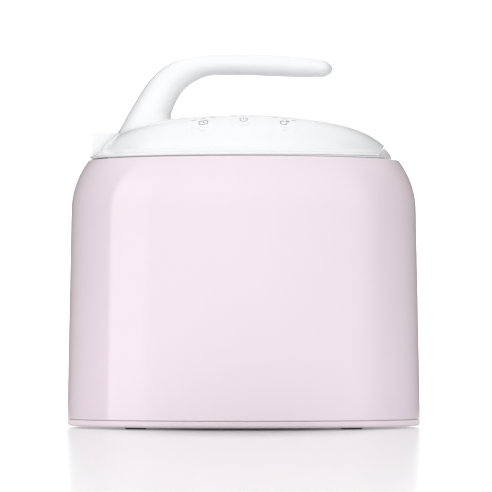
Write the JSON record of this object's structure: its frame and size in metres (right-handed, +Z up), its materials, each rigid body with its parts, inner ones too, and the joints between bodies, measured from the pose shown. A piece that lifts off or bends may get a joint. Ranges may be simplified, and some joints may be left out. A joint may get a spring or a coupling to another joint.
{
  "type": "ice cream maker",
  "caption": "Oval freezer-bowl ice cream maker with a hinged motor head, a one-ended handle, a turning paddle, press keys and a mains inlet.",
  "frame": {"origin": "on the floor, below the centre of the bowl and of the oval base", "axes": "+Z up, +X towards the free end of the handle, front with the keys towards -Y"},
  "size_m": [0.26, 0.208, 0.2756],
  "materials": {
    "pink_gloss": "gloss",
    "white_gloss": "gloss",
    "white_satin": "satin",
    "frosted": "frosted",
    "light_guide": "clear",
    "rubber": "matte",
    "silicone": "matte",
    "foam": "matte",
    "gel": "matte",
    "aluminium": "satin",
    "steel": "bright",
    "brass": "bright",
    "winding": "lacquered",
    "circuit_board": "matte",
    "black_plastic": "satin",
    "grey_plastic": "satin",
    "acetal": "satin"
  },
  "bodies": {
    "base": {"base_tray": "pink_gloss", "foot_1": "rubber", "foot_2": "rubber", "foot_3": "rubber", "foot_4": "rubber", "tray_screw_1": "steel", "tray_screw_2": "steel", "tray_screw_3": "steel", "tray_screw_4": "steel", "outer_shell": "pink_gloss", "deck_ring": "white_gloss", "strike_plate": "steel", "bowl_well": "white_gloss", "foam_sleeve": "foam", "bowl_pad": "rubber", "bowl_outer": "white_gloss", "coolant_gel": "gel", "bowl_inner": "aluminium", "bowl_rim_seal": "rubber", "power_inlet": "black_plastic", "inlet_contact_left": "brass", "inlet_contact_right": "brass", "power_board": "circuit_board", "transformer": "winding", "hinge_lead": "black_plastic", "hinge_pin": "steel"},
    "head": {"head_shell": "white_gloss", "handle_insert": "white_satin", "head_base": "white_gloss", "head_screw_1": "steel", "head_screw_2": "steel", "catch_magnet": "steel", "inner_cover": "frosted", "shaft_seal": "rubber", "control_board": "circuit_board", "switch_timer": "black_plastic", "switch_power": "black_plastic", "switch_mode": "black_plastic", "light_timer": "light_guide", "light_power": "light_guide", "light_mode": "light_guide", "gear_bridge": "grey_plastic", "idler_pin": "steel", "output_bush": "brass", "motor_stator": "winding"},
    "motor_rotor": {"motor_rotor": "steel", "motor_pinion": "brass"},
    "idler": {"idler_gear": "acetal"},
    "output_drive": {"output_gear": "acetal", "output_shaft": "steel", "drive_coupler": "acetal"},
    "paddle": {"paddle": "acetal", "scraper_left": "silicone", "scraper_right": "silicone"},
    "key_timer": {"key_timer": "white_gloss"},
    "key_power": {"key_power": "white_gloss"},
    "key_mode": {"key_mode": "white_gloss"}
  },
  "joints": [
    {"name": "head_hinge", "type": "hinge", "parent": "base", "child": "head", "pos_m": [-0.107, 0, 0.2125], "axis": [0, -1, 0], "range_deg": [0, 95]},
    {"name": "paddle_spin", "type": "hinge", "parent": "base", "child": "paddle", "pos_m": [0, 0, 0.066], "axis": [0, 0, 1], "continuous": true},
    {"name": "output_spin", "type": "hinge", "parent": "head", "child": "output_drive", "pos_m": [0, 0, 0.2064], "axis": [0, 0, 1], "continuous": true},
    {"name": "idler_spin", "type": "hinge", "parent": "head", "child": "idler", "pos_m": [0.02482, 0.02083, 0.2012], "axis": [0, 0, 1], "continuous": true},
    {"name": "motor_spin", "type": "hinge", "parent": "head", "child": "motor_rotor", "pos_m": [0.04841, 0.00431, 0.2012], "axis": [0, 0, 1], "continuous": true},
    {"name": "key_timer_press", "type": "slide", "parent": "head", "child": "key_timer", "axis": [0.1825, 0.6782, -0.7118], "range_m": [0, 0.0008], "stiffness_N_per_m": 1500, "springref_m": -0.0006},
    {"name": "key_power_press", "type": "slide", "parent": "head", "child": "key_power", "axis": [0, 0.5912, -0.8066], "range_m": [0, 0.0008], "stiffness_N_per_m": 1500, "springref_m": -0.0006},
    {"name": "key_mode_press", "type": "slide", "parent": "head", "child": "key_mode", "axis": [-0.1848, 0.68, -0.7095], "range_m": [0, 0.0008], "stiffness_N_per_m": 1500, "springref_m": -0.0006}
  ],
  "couplings": [
    {"joint": "output_spin", "follows": "paddle_spin", "ratio": 1},
    {"joint": "idler_spin", "follows": "paddle_spin", "ratio": -3},
    {"joint": "motor_spin", "follows": "paddle_spin", "ratio": 9}
  ]
}
